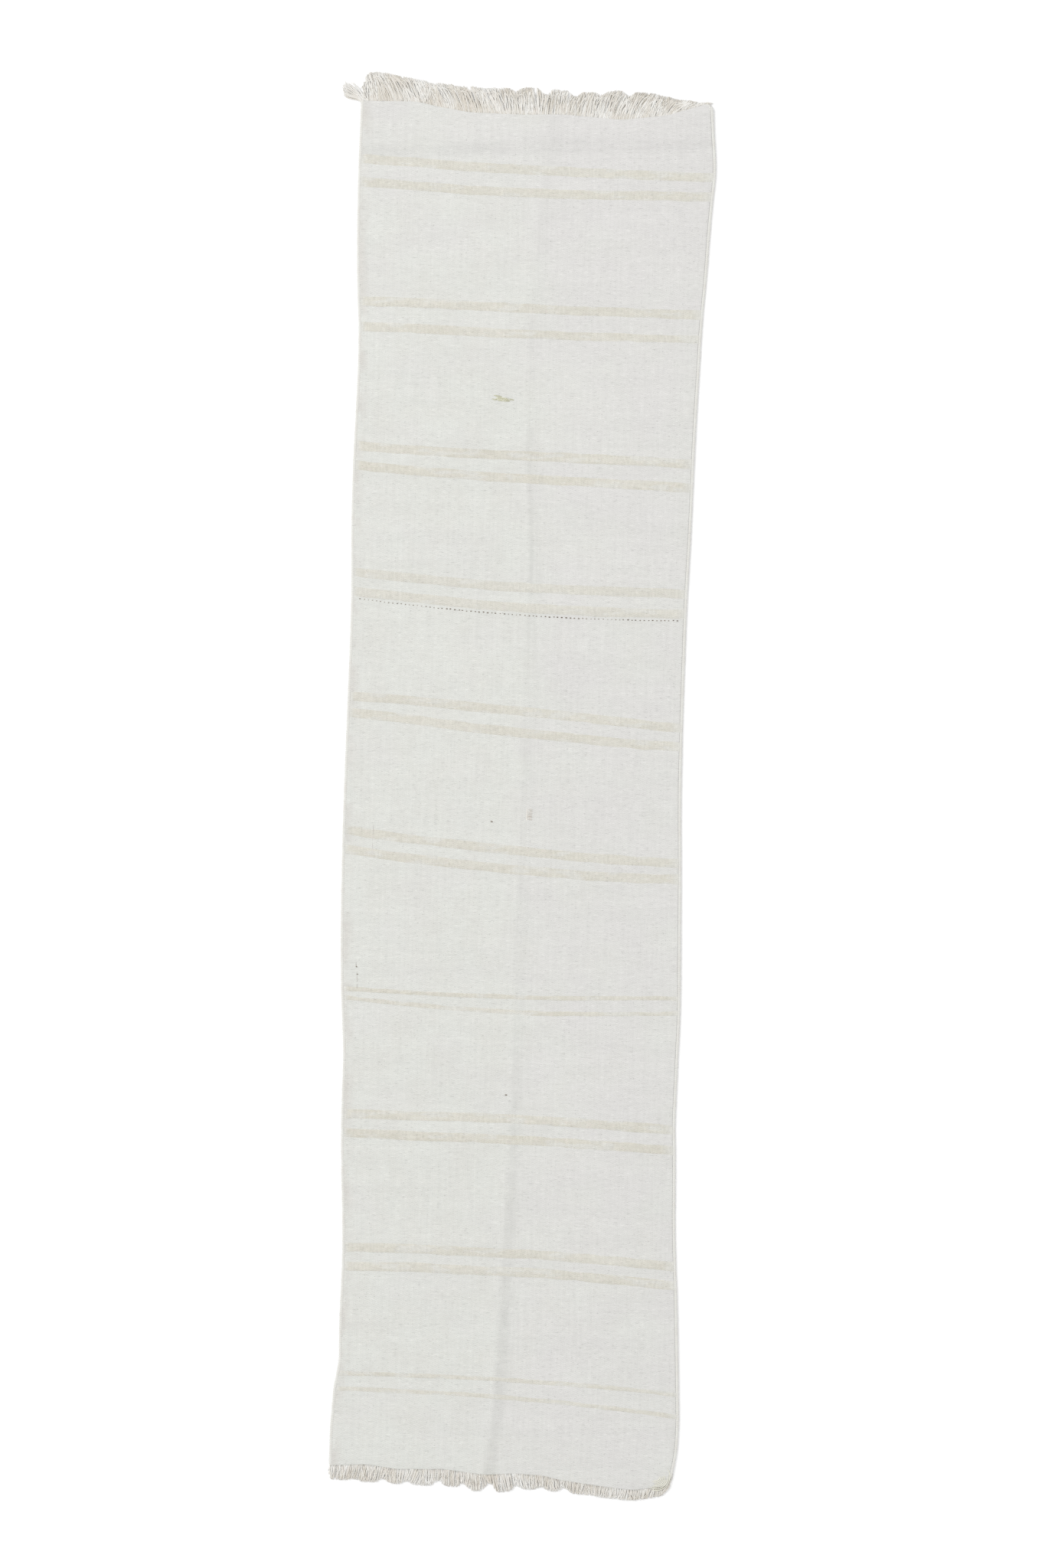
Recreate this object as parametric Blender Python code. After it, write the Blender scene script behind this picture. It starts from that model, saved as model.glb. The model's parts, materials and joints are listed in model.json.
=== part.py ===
"""A flat-woven table runner with two fringed ends, laid flat with its face up.

Metres, +Z up. +Y points to the far end, +X to the right, and the underside lies on z = 0.
The warp runs along Y. The ground cloth is three panels that fold on each other, the paler and
darker weft stripes are bands let into it, and each long edge is a bound selvedge cord. Both ends
carry a fringe of tassels, and each tassel sways about its own root.
"""

import math

import bmesh
import bpy

# The cloth without its fringe.
CLOTH_LENGTH = 1.590
CLOTH_WIDTH = 0.402
CLOTH_THICKNESS = 0.0022
GAP = 0.0003  # left between two pieces that touch
ROW_STEP = 0.060  # the longest stretch of ground between two rows of its mesh

# A hand-woven edge wanders: share of the half length, and how far it lies outside the nominal edge.
LEFT_EDGE = (
    (-1.02, 0.0003),
    (-0.97, 0.0021),
    (-0.93, 0.0006),
    (-0.84, -0.0039),
    (-0.76, -0.0076),
    (-0.66, -0.0081),
    (-0.54, -0.0044),
    (-0.48, -0.0036),
    (-0.40, -0.0046),
    (-0.31, -0.0003),
    (-0.22, 0.0020),
    (-0.06, 0.0025),
    (0.12, 0.0003),
    (0.25, -0.0013),
    (0.32, -0.0004),
    (0.42, 0.0009),
    (0.52, -0.0007),
    (0.58, -0.0024),
    (0.66, -0.0027),
    (0.74, 0.0008),
    (0.88, 0.0021),
    (0.97, 0.0012),
    (1.02, 0.0001),
)
RIGHT_EDGE = (
    (-1.02, -0.0083),
    (-0.985, -0.0035),
    (-0.95, 0.0029),
    (-0.91, 0.0013),
    (-0.75, -0.0036),
    (-0.64, -0.0080),
    (-0.54, -0.0093),
    (-0.46, -0.0113),
    (-0.36, -0.0079),
    (-0.24, -0.0090),
    (-0.10, -0.0109),
    (0.00, -0.0129),
    (0.15, -0.0123),
    (0.27, -0.0111),
    (0.40, -0.0077),
    (0.52, -0.0058),
    (0.60, -0.0033),
    (0.68, -0.0008),
    (0.76, 0.0037),
    (0.84, 0.0067),
    (0.92, 0.0124),
    (0.97, 0.0124),
    (1.02, 0.0020),
)
# So do its ends: share of the width from the left, and how far it lies beyond the nominal end.
FAR_END = (
    (0.00, -0.0020),
    (0.15, -0.0015),
    (0.21, -0.0065),
    (0.30, -0.0125),
    (0.45, -0.0140),
    (0.57, -0.0126),
    (0.74, -0.0172),
    (0.87, -0.0110),
    (0.935, -0.0033),
    (1.00, 0.0040),
)
NEAR_END = (
    (0.00, -0.0037),
    (0.10, -0.0056),
    (0.19, -0.0008),
    (0.33, -0.0021),
    (0.45, 0.0034),
    (0.54, 0.0012),
    (0.63, 0.0030),
    (0.68, 0.0076),
    (0.79, 0.0129),
    (0.90, 0.0173),
    (1.00, 0.0120),
)

# Selvedges: a cord of bound warp ends along each long edge, round on its outer side.
SELVEDGE_WIDTH = 0.0045
SELVEDGE_ARC_STEPS = 4

# Stripes: pairs of weft bands, let into the face of the ground.
END_MARGIN = 0.0944  # nominal cloth end to the middle of the first and the last pair
PATTERN_SHIFT = 0.0029  # the whole pattern lies this much nearer the far end
CHANNEL_DEPTH = 0.0010
CHANNEL_WALL = 0.0002  # how far a channel's side leans out over its depth
WIDE_BAND = 0.0105
THIN_BAND = 0.0048
# Each pair, from the far end: how far it lies off the even spacing, the distance between its two
# bands, then for the far and for the near band the fall from left to right and the sag of the middle.
PAIRS = (
    (0.0000, 0.0266, 0.0116, 0.0023, 0.0069, 0.0046, WIDE_BAND),
    (-0.0069, 0.0302, 0.0085, 0.0011, 0.0088, 0.0020, WIDE_BAND),
    (-0.0205, 0.0264, 0.0103, 0.0013, 0.0158, 0.0028, WIDE_BAND),
    (-0.0157, 0.0236, 0.0156, 0.0059, 0.0175, 0.0064, WIDE_BAND),
    (-0.0042, 0.0249, 0.0297, -0.0018, 0.0329, 0.0028, WIDE_BAND),
    (-0.0091, 0.0222, 0.0304, 0.0033, 0.0267, 0.0052, WIDE_BAND),
    (-0.0214, 0.0172, 0.0033, 0.0051, 0.0105, 0.0082, THIN_BAND),
    (-0.0107, 0.0240, 0.0093, -0.0031, 0.0110, -0.0021, WIDE_BAND),
    (-0.0093, 0.0213, 0.0135, -0.0043, 0.0134, -0.0052, WIDE_BAND),
    (0.0000, 0.0206, 0.0146, -0.0042, 0.0225, -0.0052, THIN_BAND),
)
PAIRS_ON_AN_END = 2  # pairs that lie beyond each fold

# One dark pick runs beside a stripe, and two small darns lie on the face.
MARKER_PAIR = 4
MARKER_SPACE = 0.00225  # between that pair's near band and the dark pick
MARKER_BAND = 0.0022
DARN_THICKNESS = 0.0007
# Each darn: x, the pair that it lies beyond and how far its middle is from that pair's far band,
# then its length, width and turn in degrees.
OCHRE_DARN = (-0.029, 3, 0.0655, 0.027, 0.0065, -13.0)
SMALL_DARN = (0.013, 6, 0.0415, 0.013, 0.0070, 88.0)
DARN_CORNER_STEPS = 3

# Folds: the two ends turn up and over the middle panel, on lines beside the end pairs.
FOLD_TO_BAND = 0.0405  # the fold line to the middle of the nearest band of the end pairs
FOLD_LOFT = 0.0015  # the fold axis above the face, half the room left between two layers

# Fringe: tassels of warp ends, each swaying in the plane of the cloth about its root.
SWAY_DEG = 15.0
ROOT_SLOPE_DEG = SWAY_DEG + 9.0  # how steeply a tassel's root falls away from the cloth
TASSEL_SPACE = 0.009  # between the roots of two tassels
TASSEL_THICKNESS = 0.0020
TIP_SHARE = 0.62  # a tip's width as a share of its root's
TIP_STEPS = 5
FAR_LENGTHS = (0.034, 0.026, 0.027, 0.029, 0.029, 0.031, 0.028, 0.027, 0.033, 0.028, 0.021, 0.010)
NEAR_LENGTHS = (0.0165, 0.019, 0.016, 0.018, 0.018, 0.019, 0.020, 0.016, 0.014, 0.012, 0.012, 0.012, 0.011)
FAR_LEANS_DEG = (-18.0, 18.0)  # the first and the last tassel, and the rest between them
NEAR_LEANS_DEG = (-12.0, 18.0)
FAR_FIRST_SHARE = 0.03  # of the width, left for the stray tassel at the far left corner
STRAY_LENGTH = 0.0300
STRAY_WIDTH = 0.009
STRAY_FACING_DEG = 134.0

COLOURS = {
    "ground": ((0.735, 0.735, 0.700), 0.95),
    "stripe": ((0.665, 0.650, 0.580), 0.95),
    "selvedge": ((0.690, 0.680, 0.630), 0.95),
    "marker": ((0.060, 0.055, 0.060), 0.95),
    "ochre_darn": ((0.480, 0.350, 0.170), 0.95),
    "grey_darn": ((0.340, 0.330, 0.320), 0.95),
    "fringe": ((0.620, 0.580, 0.530), 0.95),
}

HALF_LENGTH = CLOTH_LENGTH / 2
HALF_WIDTH = CLOTH_WIDTH / 2
FOLD_AXIS_Z = CLOTH_THICKNESS + FOLD_LOFT


def clear_scene():
    for obj in list(bpy.data.objects):
        bpy.data.objects.remove(obj, do_unlink=True)


def blend(low, high, share):
    return low + (high - low) * share


def smooth_through(points, at):
    """The value at `at` of a smooth curve through (place, value) points in rising order."""
    last = len(points) - 1
    at = min(max(at, points[0][0]), points[last][0])
    first = max(i for i in range(last) if points[i][0] <= at)
    before = points[max(first - 1, 0)]
    start = points[first]
    end = points[first + 1]
    after = points[min(first + 2, last)]
    span = end[0] - start[0]
    leave = (end[1] - before[1]) / (end[0] - before[0]) * span
    arrive = (after[1] - start[1]) / (after[0] - start[0]) * span
    t = (at - start[0]) / span
    return (
        start[1] * (2 * t**3 - 3 * t**2 + 1)
        + leave * (t**3 - 2 * t**2 + t)
        + end[1] * (3 * t**2 - 2 * t**3)
        + arrive * (t**3 - t**2)
    )


def straight_through(points, at):
    """The value at `at` of straight runs between (place, value) points in rising order."""
    at = min(max(at, points[0][0]), points[-1][0])
    for start, end in zip(points, points[1:]):
        if at <= end[0]:
            return blend(start[1], end[1], (at - start[0]) / (end[0] - start[0]))
    return points[-1][1]


def left_edge(y):
    return -HALF_WIDTH - smooth_through(LEFT_EDGE, y / HALF_LENGTH)


def right_edge(y):
    return HALF_WIDTH + smooth_through(RIGHT_EDGE, y / HALF_LENGTH)


def far_end(share):
    return HALF_LENGTH + straight_through(FAR_END, share)


def near_end(share):
    return -HALF_LENGTH - straight_through(NEAR_END, share)


def across(y, share, inset=0.0):
    """The x at a share of the width from the left, with `inset` left out at both edges."""
    return blend(left_edge(y) + inset, right_edge(y) - inset, share)


def band_line(pair, side):
    """The centre line of a pair's far (+1) or near (-1) band: y at each share of the width."""
    spacing = (CLOTH_LENGTH - 2 * END_MARGIN) / (len(PAIRS) - 1)
    shift, apart, far_fall, far_sag, near_fall, near_sag, _ = PAIRS[pair - 1]
    first = HALF_LENGTH - END_MARGIN + PATTERN_SHIFT
    middle = first - (pair - 1) * spacing + shift + side * apart / 2
    fall = far_fall if side > 0 else near_fall
    sag = far_sag if side > 0 else near_sag
    return lambda share: middle - fall * (share - 0.5) + 4 * sag * (share - 0.5) ** 2


def band_width(pair):
    return PAIRS[pair - 1][-1]


def shifted(line, distance):
    return lambda share: line(share) + distance


def level(y):
    return lambda share: y


def marker_line():
    offset = band_width(MARKER_PAIR) / 2 + MARKER_SPACE + MARKER_BAND / 2
    return shifted(band_line(MARKER_PAIR, -1), -offset)


def fold_line(side):
    """The y of the far (+1) or near (-1) fold, beside the innermost band that turns with it."""
    pair = PAIRS_ON_AN_END if side > 0 else len(PAIRS) + 1 - PAIRS_ON_AN_END
    return band_line(pair, -side)(0.5) - side * FOLD_TO_BAND


def make_material(name):
    colour, roughness = COLOURS[name]
    material = bpy.data.materials.new(name)
    material.use_nodes = True
    shader = material.node_tree.nodes["Principled BSDF"]
    shader.inputs["Base Color"].default_value = (*colour, 1.0)
    shader.inputs["Roughness"].default_value = roughness
    shader.inputs["Metallic"].default_value = 0.0
    return material


def make_empty(name, location, parent=None):
    empty = bpy.data.objects.new(name, None)
    bpy.context.scene.collection.objects.link(empty)
    empty.parent = parent
    empty.location = [a - b for a, b in zip(location, parent.location)] if parent else location
    return empty


def add_piece(name, mesh_maker, material, parent, origin):
    """An object from a bmesh in the runner's frame, with its origin at `origin`."""
    bmesh.ops.translate(mesh_maker, verts=mesh_maker.verts, vec=[-value for value in origin])
    bmesh.ops.recalc_face_normals(mesh_maker, faces=mesh_maker.faces)
    mesh = bpy.data.meshes.new(name)
    mesh_maker.to_mesh(mesh)
    mesh_maker.free()
    mesh.materials.append(material)
    piece = bpy.data.objects.new(name, mesh)
    bpy.context.scene.collection.objects.link(piece)
    piece.parent = parent
    piece.location = [a - b for a, b in zip(origin, parent.location)]
    return piece


def grid_solid(rows, shares, inset, floor_z):
    """A closed slab: `rows` of (line, top z) from far to near, cut at `shares` of the width."""
    maker = bmesh.new()
    tops = []
    floors = []
    for line, top_z in rows:
        points = [(across(line(share), share, inset), line(share)) for share in shares]
        tops.append([maker.verts.new((x, y, top_z)) for x, y in points])
        floors.append([maker.verts.new((x, y, floor_z)) for x, y in points])
    for layer in (tops, floors):
        for row, following in zip(layer, layer[1:]):
            for i in range(len(shares) - 1):
                maker.faces.new((row[i], row[i + 1], following[i + 1], following[i]))
    for i in (0, len(shares) - 1):
        for j in range(len(rows) - 1):
            maker.faces.new((tops[j][i], tops[j + 1][i], floors[j + 1][i], floors[j][i]))
    for j in (0, len(rows) - 1):
        for i in range(len(shares) - 1):
            maker.faces.new((tops[j][i], tops[j][i + 1], floors[j][i + 1], floors[j][i]))
    return maker


def channel_rows(line, width):
    """The four rows of a channel for a band of this width, with its running gap at each side."""
    foot = width / 2 + GAP
    lip = foot + CHANNEL_WALL
    return [
        (shifted(line, lip), CLOTH_THICKNESS),
        (shifted(line, foot), CLOTH_THICKNESS - CHANNEL_DEPTH),
        (shifted(line, -foot), CLOTH_THICKNESS - CHANNEL_DEPTH),
        (shifted(line, -lip), CLOTH_THICKNESS),
    ]


def filled_rows(rows):
    """The same rows, with more between any two that lie far apart."""
    filled = [rows[0]]
    for (line, _), (following, top_z) in zip(rows, rows[1:]):
        steps = math.ceil((line(0.5) - following(0.5)) / ROW_STEP)
        for step in range(1, steps):
            share = step / steps
            between = lambda at, a=line, b=following, s=share: blend(a(at), b(at), s)
            filled.append((between, CLOTH_THICKNESS))
        filled.append((following, top_z))
    return filled


def panel_rows(pairs, start, end):
    rows = [(start, CLOTH_THICKNESS)]
    for pair in pairs:
        rows += channel_rows(band_line(pair, 1), band_width(pair))
        rows += channel_rows(band_line(pair, -1), band_width(pair))
        if pair == MARKER_PAIR:
            rows += channel_rows(marker_line(), MARKER_BAND)
    rows.append((end, CLOTH_THICKNESS))
    return filled_rows(rows)


def make_panel(name, rows, shares, material, parent):
    slab = grid_solid(rows, shares, SELVEDGE_WIDTH + GAP, 0.0)
    return add_piece(name, slab, material, parent, parent_origin(parent))


def parent_origin(parent):
    """The place of a frame or fold empty before the whole runner is centred."""
    return tuple(parent.location) if parent.parent is None else tuple(
        a + b for a, b in zip(parent.location, parent.parent.location)
    )


def make_band(name, line, width, shares, material, parent):
    rows = [(shifted(line, side * width / 2), CLOTH_THICKNESS) for side in (1, -1)]
    floor_z = CLOTH_THICKNESS - CHANNEL_DEPTH + GAP
    strip = grid_solid(rows, shares, SELVEDGE_WIDTH + GAP, floor_z)
    return add_piece(name, strip, material, parent, parent_origin(parent))


def make_selvedge(name, rows, side, material, parent):
    """A cord along the left (-1) or right (+1) edge, with a half-round outer side."""
    radius = CLOTH_THICKNESS / 2
    profile = [(SELVEDGE_WIDTH, 0.0)]
    for step in range(SELVEDGE_ARC_STEPS + 1):
        angle = math.pi * step / SELVEDGE_ARC_STEPS
        profile.append((radius - radius * math.sin(angle), radius - radius * math.cos(angle)))
    profile.append((SELVEDGE_WIDTH, CLOTH_THICKNESS))
    share = 0.5 + side / 2
    edge = left_edge if side < 0 else right_edge
    stations = [line(share) for line, top_z in rows if top_z == CLOTH_THICKNESS]
    maker = bmesh.new()
    rings = [
        [maker.verts.new((edge(y) - side * inwards, y, z)) for inwards, z in profile]
        for y in stations
    ]
    for ring, following in zip(rings, rings[1:]):
        for i in range(len(profile)):
            j = (i + 1) % len(profile)
            maker.faces.new((ring[i], ring[j], following[j], following[i]))
    maker.faces.new(rings[0])
    maker.faces.new(rings[-1])
    return add_piece(name, maker, material, parent, parent_origin(parent))


def prism(outline, low_z, high_z):
    maker = bmesh.new()
    floor = [maker.verts.new((x, y, low_z)) for x, y in outline]
    top = [maker.verts.new((x, y, high_z)) for x, y in outline]
    maker.faces.new(floor)
    maker.faces.new(top)
    for i in range(len(outline)):
        j = (i + 1) % len(outline)
        maker.faces.new((floor[i], floor[j], top[j], top[i]))
    return maker


def tassel_outline(width, length, lean):
    """Points around a tassel that points along +Y from its root at the origin."""
    half = width / 2
    recess = half * math.tan(math.radians(ROOT_SLOPE_DEG))
    tip_x = length * math.sin(lean)
    tip_y = length * math.cos(lean)
    tip_half = half * TIP_SHARE
    shoulder_y = max(tip_y - tip_half / 2, recess + (tip_y - recess) / 2)
    points = [(0.0, 0.0), (half, recess)]
    for step in range(TIP_STEPS + 1):
        angle = math.pi * step / TIP_STEPS
        out = tip_half * math.cos(angle)
        points.append((tip_x + out, blend(shoulder_y, tip_y, math.sin(angle))))
    points.append((-half, recess))
    return points


def make_tassel(name, root, facing, width, length, lean, material, parent):
    """A tassel whose root touches the cloth at `root`, facing along the angle `facing`."""
    turn = facing - math.pi / 2
    root_x = root[0] + GAP * math.cos(facing)
    root_y = root[1] + GAP * math.sin(facing)
    outline = [
        (
            root_x + x * math.cos(turn) - y * math.sin(turn),
            root_y + x * math.sin(turn) + y * math.cos(turn),
        )
        for x, y in tassel_outline(width, length, lean)
    ]
    maker = prism(outline, 0.0, TASSEL_THICKNESS)
    return add_piece(name, maker, material, parent, (root_x, root_y, 0.0))


def make_fringe(prefix, side, first_share, first_number, lengths, leans, material, parent):
    """The tassels along the far (+1) or near (-1) end, from left to right."""
    end = far_end if side > 0 else near_end
    share_step = (1.0 - first_share) / len(lengths)
    width = share_step * CLOTH_WIDTH - TASSEL_SPACE
    for i, length in enumerate(lengths):
        share = first_share + (i + 0.5) * share_step
        y = end(share)
        reach = width / 2 / CLOTH_WIDTH
        rise = (end(share + reach) - end(share - reach)) / width
        facing = side * math.pi / 2 + math.atan(rise)
        lean = math.radians(blend(leans[0], leans[1], i / (len(lengths) - 1)))
        name = f"{prefix}_{first_number + i:02d}"
        root = (across(y, share, SELVEDGE_WIDTH + GAP), y)
        make_tassel(name, root, facing, width, length, side * lean, material, parent)


def make_darn(name, darn, material, parent):
    """A thin stitched pad on the face, with rounded corners."""
    x, pair, distance, length, width, turn_deg = darn
    y = band_line(pair, 1)(0.5) + distance
    turn = math.radians(turn_deg)
    radius = width / 3
    outline = []
    for corner in range(4):
        start = corner * math.pi / 2
        middle_x = (length / 2 - radius) * (1 if corner in (0, 3) else -1)
        middle_y = (width / 2 - radius) * (1 if corner in (0, 1) else -1)
        for step in range(DARN_CORNER_STEPS + 1):
            angle = start + math.pi / 2 * step / DARN_CORNER_STEPS
            along = middle_x + radius * math.cos(angle)
            beside = middle_y + radius * math.sin(angle)
            outline.append(
                (
                    x + along * math.cos(turn) - beside * math.sin(turn),
                    y + along * math.sin(turn) + beside * math.cos(turn),
                )
            )
    low_z = CLOTH_THICKNESS + GAP
    maker = prism(outline, low_z, low_z + DARN_THICKNESS)
    return add_piece(name, maker, material, parent, parent_origin(parent))


def make_section(name, pairs, start, end, shares, materials, parent):
    """A panel with its selvedges and the bands let into it."""
    rows = panel_rows(pairs, start, end)
    make_panel(f"{name}_panel", rows, shares, materials["ground"], parent)
    make_selvedge(f"{name}_left_selvedge", rows, -1, materials["selvedge"], parent)
    make_selvedge(f"{name}_right_selvedge", rows, 1, materials["selvedge"], parent)
    for pair in pairs:
        for side, word in ((1, "far"), (-1, "near")):
            band_name = f"stripe_{pair:02d}_{word}"
            line = band_line(pair, side)
            make_band(band_name, line, band_width(pair), shares, materials["stripe"], parent)


def centre(frame):
    """Moves the whole runner so that the middle of its box is over the origin."""
    bpy.context.view_layer.update()
    corners = [
        piece.matrix_world @ vertex.co
        for piece in bpy.data.objects
        if piece.type == "MESH"
        for vertex in piece.data.vertices
    ]
    for axis in (0, 1):
        values = [corner[axis] for corner in corners]
        frame.location[axis] = -(min(values) + max(values)) / 2


def main():
    clear_scene()
    materials = {name: make_material(name) for name in COLOURS}
    frame = make_empty("runner_frame", (0.0, 0.0, 0.0))
    far_fold = make_empty("far_fold_axis", (0.0, fold_line(1), FOLD_AXIS_Z), frame)
    near_fold = make_empty("near_fold_axis", (0.0, fold_line(-1), FOLD_AXIS_Z), frame)

    far_pairs = range(1, PAIRS_ON_AN_END + 1)
    near_pairs = range(len(PAIRS) - PAIRS_ON_AN_END + 1, len(PAIRS) + 1)
    middle_pairs = range(PAIRS_ON_AN_END + 1, len(PAIRS) - PAIRS_ON_AN_END + 1)
    far_shares = [share for share, _ in FAR_END]
    near_shares = [share for share, _ in NEAR_END]
    middle_shares = [i / 8 for i in range(9)]

    far_start = level(fold_line(1) + GAP / 2)
    near_start = level(fold_line(-1) - GAP / 2)
    middle_far = level(fold_line(1) - GAP / 2)
    middle_near = level(fold_line(-1) + GAP / 2)

    make_section("far", far_pairs, far_end, far_start, far_shares, materials, far_fold)
    make_section("middle", middle_pairs, middle_far, middle_near, middle_shares, materials, frame)
    make_section("near", near_pairs, near_start, near_end, near_shares, materials, near_fold)

    make_band("dark_marker_pick", marker_line(), MARKER_BAND, middle_shares, materials["marker"], frame)
    make_darn("ochre_darn", OCHRE_DARN, materials["ochre_darn"], frame)
    make_darn("small_darn", SMALL_DARN, materials["grey_darn"], frame)

    fringe = materials["fringe"]
    corner = (left_edge(far_end(0.0)), far_end(0.0))
    stray_facing = math.radians(STRAY_FACING_DEG)
    make_tassel("far_tassel_01", corner, stray_facing, STRAY_WIDTH, STRAY_LENGTH, 0.0, fringe, far_fold)
    make_fringe("far_tassel", 1, FAR_FIRST_SHARE, 2, FAR_LENGTHS, FAR_LEANS_DEG, fringe, far_fold)
    make_fringe("near_tassel", -1, 0.0, 1, NEAR_LENGTHS, NEAR_LEANS_DEG, fringe, near_fold)
    centre(frame)


main()
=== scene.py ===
"""Looks of the flat-woven table runner: its cloth, stripes, selvedges, darns and fringe.

Metres, in the frame's own axes: +Y to the far end, +X to the right, the underside on z = 0.
Outlines, stripe lines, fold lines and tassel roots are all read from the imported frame.
"""

import json
import math

import bpy
import numpy as np
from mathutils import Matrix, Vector


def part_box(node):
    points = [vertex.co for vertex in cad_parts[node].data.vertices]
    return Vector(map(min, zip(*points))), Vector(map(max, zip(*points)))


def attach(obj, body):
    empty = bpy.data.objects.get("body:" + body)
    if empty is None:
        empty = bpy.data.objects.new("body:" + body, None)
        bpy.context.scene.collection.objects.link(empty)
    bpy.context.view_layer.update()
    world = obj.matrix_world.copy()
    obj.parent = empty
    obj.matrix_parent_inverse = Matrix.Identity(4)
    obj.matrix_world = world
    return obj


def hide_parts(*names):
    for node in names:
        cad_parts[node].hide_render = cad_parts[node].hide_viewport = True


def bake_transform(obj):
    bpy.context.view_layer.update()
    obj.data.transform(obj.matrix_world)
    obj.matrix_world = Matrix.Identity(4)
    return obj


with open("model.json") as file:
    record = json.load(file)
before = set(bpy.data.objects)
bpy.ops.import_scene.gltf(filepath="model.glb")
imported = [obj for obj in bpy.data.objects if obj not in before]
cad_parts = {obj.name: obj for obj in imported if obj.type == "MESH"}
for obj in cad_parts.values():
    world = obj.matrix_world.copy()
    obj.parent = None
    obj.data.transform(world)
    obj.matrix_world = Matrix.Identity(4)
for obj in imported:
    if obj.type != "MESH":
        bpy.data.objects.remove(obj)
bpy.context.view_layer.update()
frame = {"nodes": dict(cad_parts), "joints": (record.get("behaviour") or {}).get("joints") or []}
rng = np.random.default_rng(20)

MM = 0.001

# Cloth.
RIBS = 160  # warp ribs across the width
COLUMNS_PER_RIB = 2
RIB_RELIEF = 0.16 * MM
PICK = 1.15 * MM  # one weft pick to the next
FLOOR_Z = 0.22 * MM  # underside of the ground, which the stripes' undersides stand proud of
FACE_Z = 2.0 * MM
LOWEST_Z = 0.02 * MM  # cloth and cords go no lower
SIDES_END_Y = 0.79  # where the cloth's sides meet its ends, within a few millimetres
PAST_ENDS_Y = 0.80
WAVE_WIDTH, WAVE_LENGTH = 0.4, 1.6  # what the waves below are counted over
ROW_STEP = 9 * MM
FOLD_REACH = 7 * MM  # the cloth bends this far each side of a fold line
FOLD_ROW_STEP = 1.2 * MM
JOIN_ROW = 0.05 * MM  # a last row this close to a join keeps the shading even up to it
END_ROUNDING = ((0.0, 0.55), (0.5, 0.2), (1.4, 0.0))  # mm from the end, mm that each face draws in
WAVES = (  # height in mm, waves across the width, waves along the length, phase
    (0.16, 0.6, 3.1, 0.4),
    (0.13, -0.9, 7.3, 2.1),
    (0.07, 2.3, 13.0, 4.0),
    (0.05, 4.1, -9.0, 1.0),
)
CORNER_ROUNDING = {  # by side (far +1, near -1), then left and right
    1: (2.0 * MM, 9.0 * MM),
    -1: (2.0 * MM, 14.0 * MM),
}
CORNER_LIFT = 0.9 * MM
CORNER_REACH = 34 * MM

# A lengthwise fold that was pressed in: share of the half length, and x.
CREASE = (
    (-1.02, -19.0),
    (-0.90, -8.0),
    (-0.63, 0.5),
    (-0.32, 7.0),
    (0.00, 8.5),
    (0.34, 13.0),
    (0.50, 6.0),
    (0.66, 5.5),
    (0.94, 23.0),
    (1.02, 27.0),
)
CREASE_HEIGHT = 0.42 * MM
CREASE_FLANK = 11 * MM

# Stripes stand a little proud of the ground on both faces.
STRIPE_PROUD = 0.16 * MM
STRIPE_EDGE = 0.5 * MM
STRIPE_DRIFT = 0.32 * MM  # how far a pair wanders off its line
STRIPE_WANDER = 0.26 * MM  # how far each edge does
STRIPE_SPREAD = 0.4 * MM  # the yarn's overlap of the ground along each edge
STRIPE_STRENGTHS = {"03": 0.82, "04": 0.58, "07": 0.84, "08": 0.84}  # by pair
STRIPE_STRENGTH = 0.74  # the other pairs
FAINT_BAND_RISE = 13 * MM  # beyond the first stripe
FAINT_BAND_SLOPE = 0.045

# Selvedge cords.
CORD_HALF_WIDTH = 2.3 * MM
CORD_HALF_HEIGHT = 1.03 * MM
CORD_FLATNESS = 0.6  # 1 is round
CORD_TURN = 2.3 * MM  # one turn of the binding weft to the next
CORD_SIDES = 8
CORD_RINGS_PER_TURN = 3

# Fringe.
YARN_RADIUS = 0.62 * MM
YARN_SIDES = 6
YARN_RINGS = 18
YARN_ROOT = 3.5 * MM  # how far a yarn runs back into the cloth
LAYER_CONTRASTS = (0.24, 0.36, 0.52)  # how much the yarns' tones differ, lowest layer first
FRINGE_TONES = {1: 0.58, -1: 0.64}  # by side, far +1 and near -1
DASH_SHARES = {1: 0.15, -1: 0.50}  # how many yarns get painted shade at the root, where they run in under the cloth's edge
LEFT_MARGIN = 1.2 * MM
RIGHT_MARGINS = {1: 6.0 * MM, -1: 1.2 * MM}

# Colours of the cloth.
GROUND_PALE = (0.680, 0.687, 0.652)
GROUND_WARM = (0.668, 0.668, 0.632)
# greyer: the far end's own tone, and painted shade to the right of the crease
GROUND_GREY_AND_SHADE = (0.672, 0.662, 0.646)
GROUND_WORN = (0.628, 0.612, 0.578)
RIGHT_EDGE_SPARED = 3.5  # ribs by which the wear is less on the right
STRIPE_DEEP = (0.610, 0.586, 0.502)
STRIPE_LIGHT = (0.656, 0.640, 0.574)
STRIPE_PINK = (0.672, 0.616, 0.568)
STRIPE_FADED = (0.668, 0.664, 0.625)
CORD_PALE = (0.684, 0.682, 0.648)
CORD_WORN = (0.652, 0.638, 0.602)

# View.
VIEW_HEIGHT = 1.8207  # the length of floor that the camera takes in
VIEW_TURN = 1.327  # degrees
VIEW_CENTRE = (0.0096, 0.0033)
FLOOR_HALF = 12.0
FLOOR_DROP = 0.15 * MM  # just under the cloth


# ---------------- outlines read from the frame


def points_of(*nodes):
    """The vertices of CAD nodes at rest, as one array."""
    return np.concatenate([[v.co[:] for v in frame["nodes"][node].data.vertices] for node in nodes])


def smoothed(values, width):
    kernel = np.ones(width) / width
    padded = np.pad(values, width // 2, mode="edge")
    return np.convolve(padded, kernel, mode="valid")[: len(values)]


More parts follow.
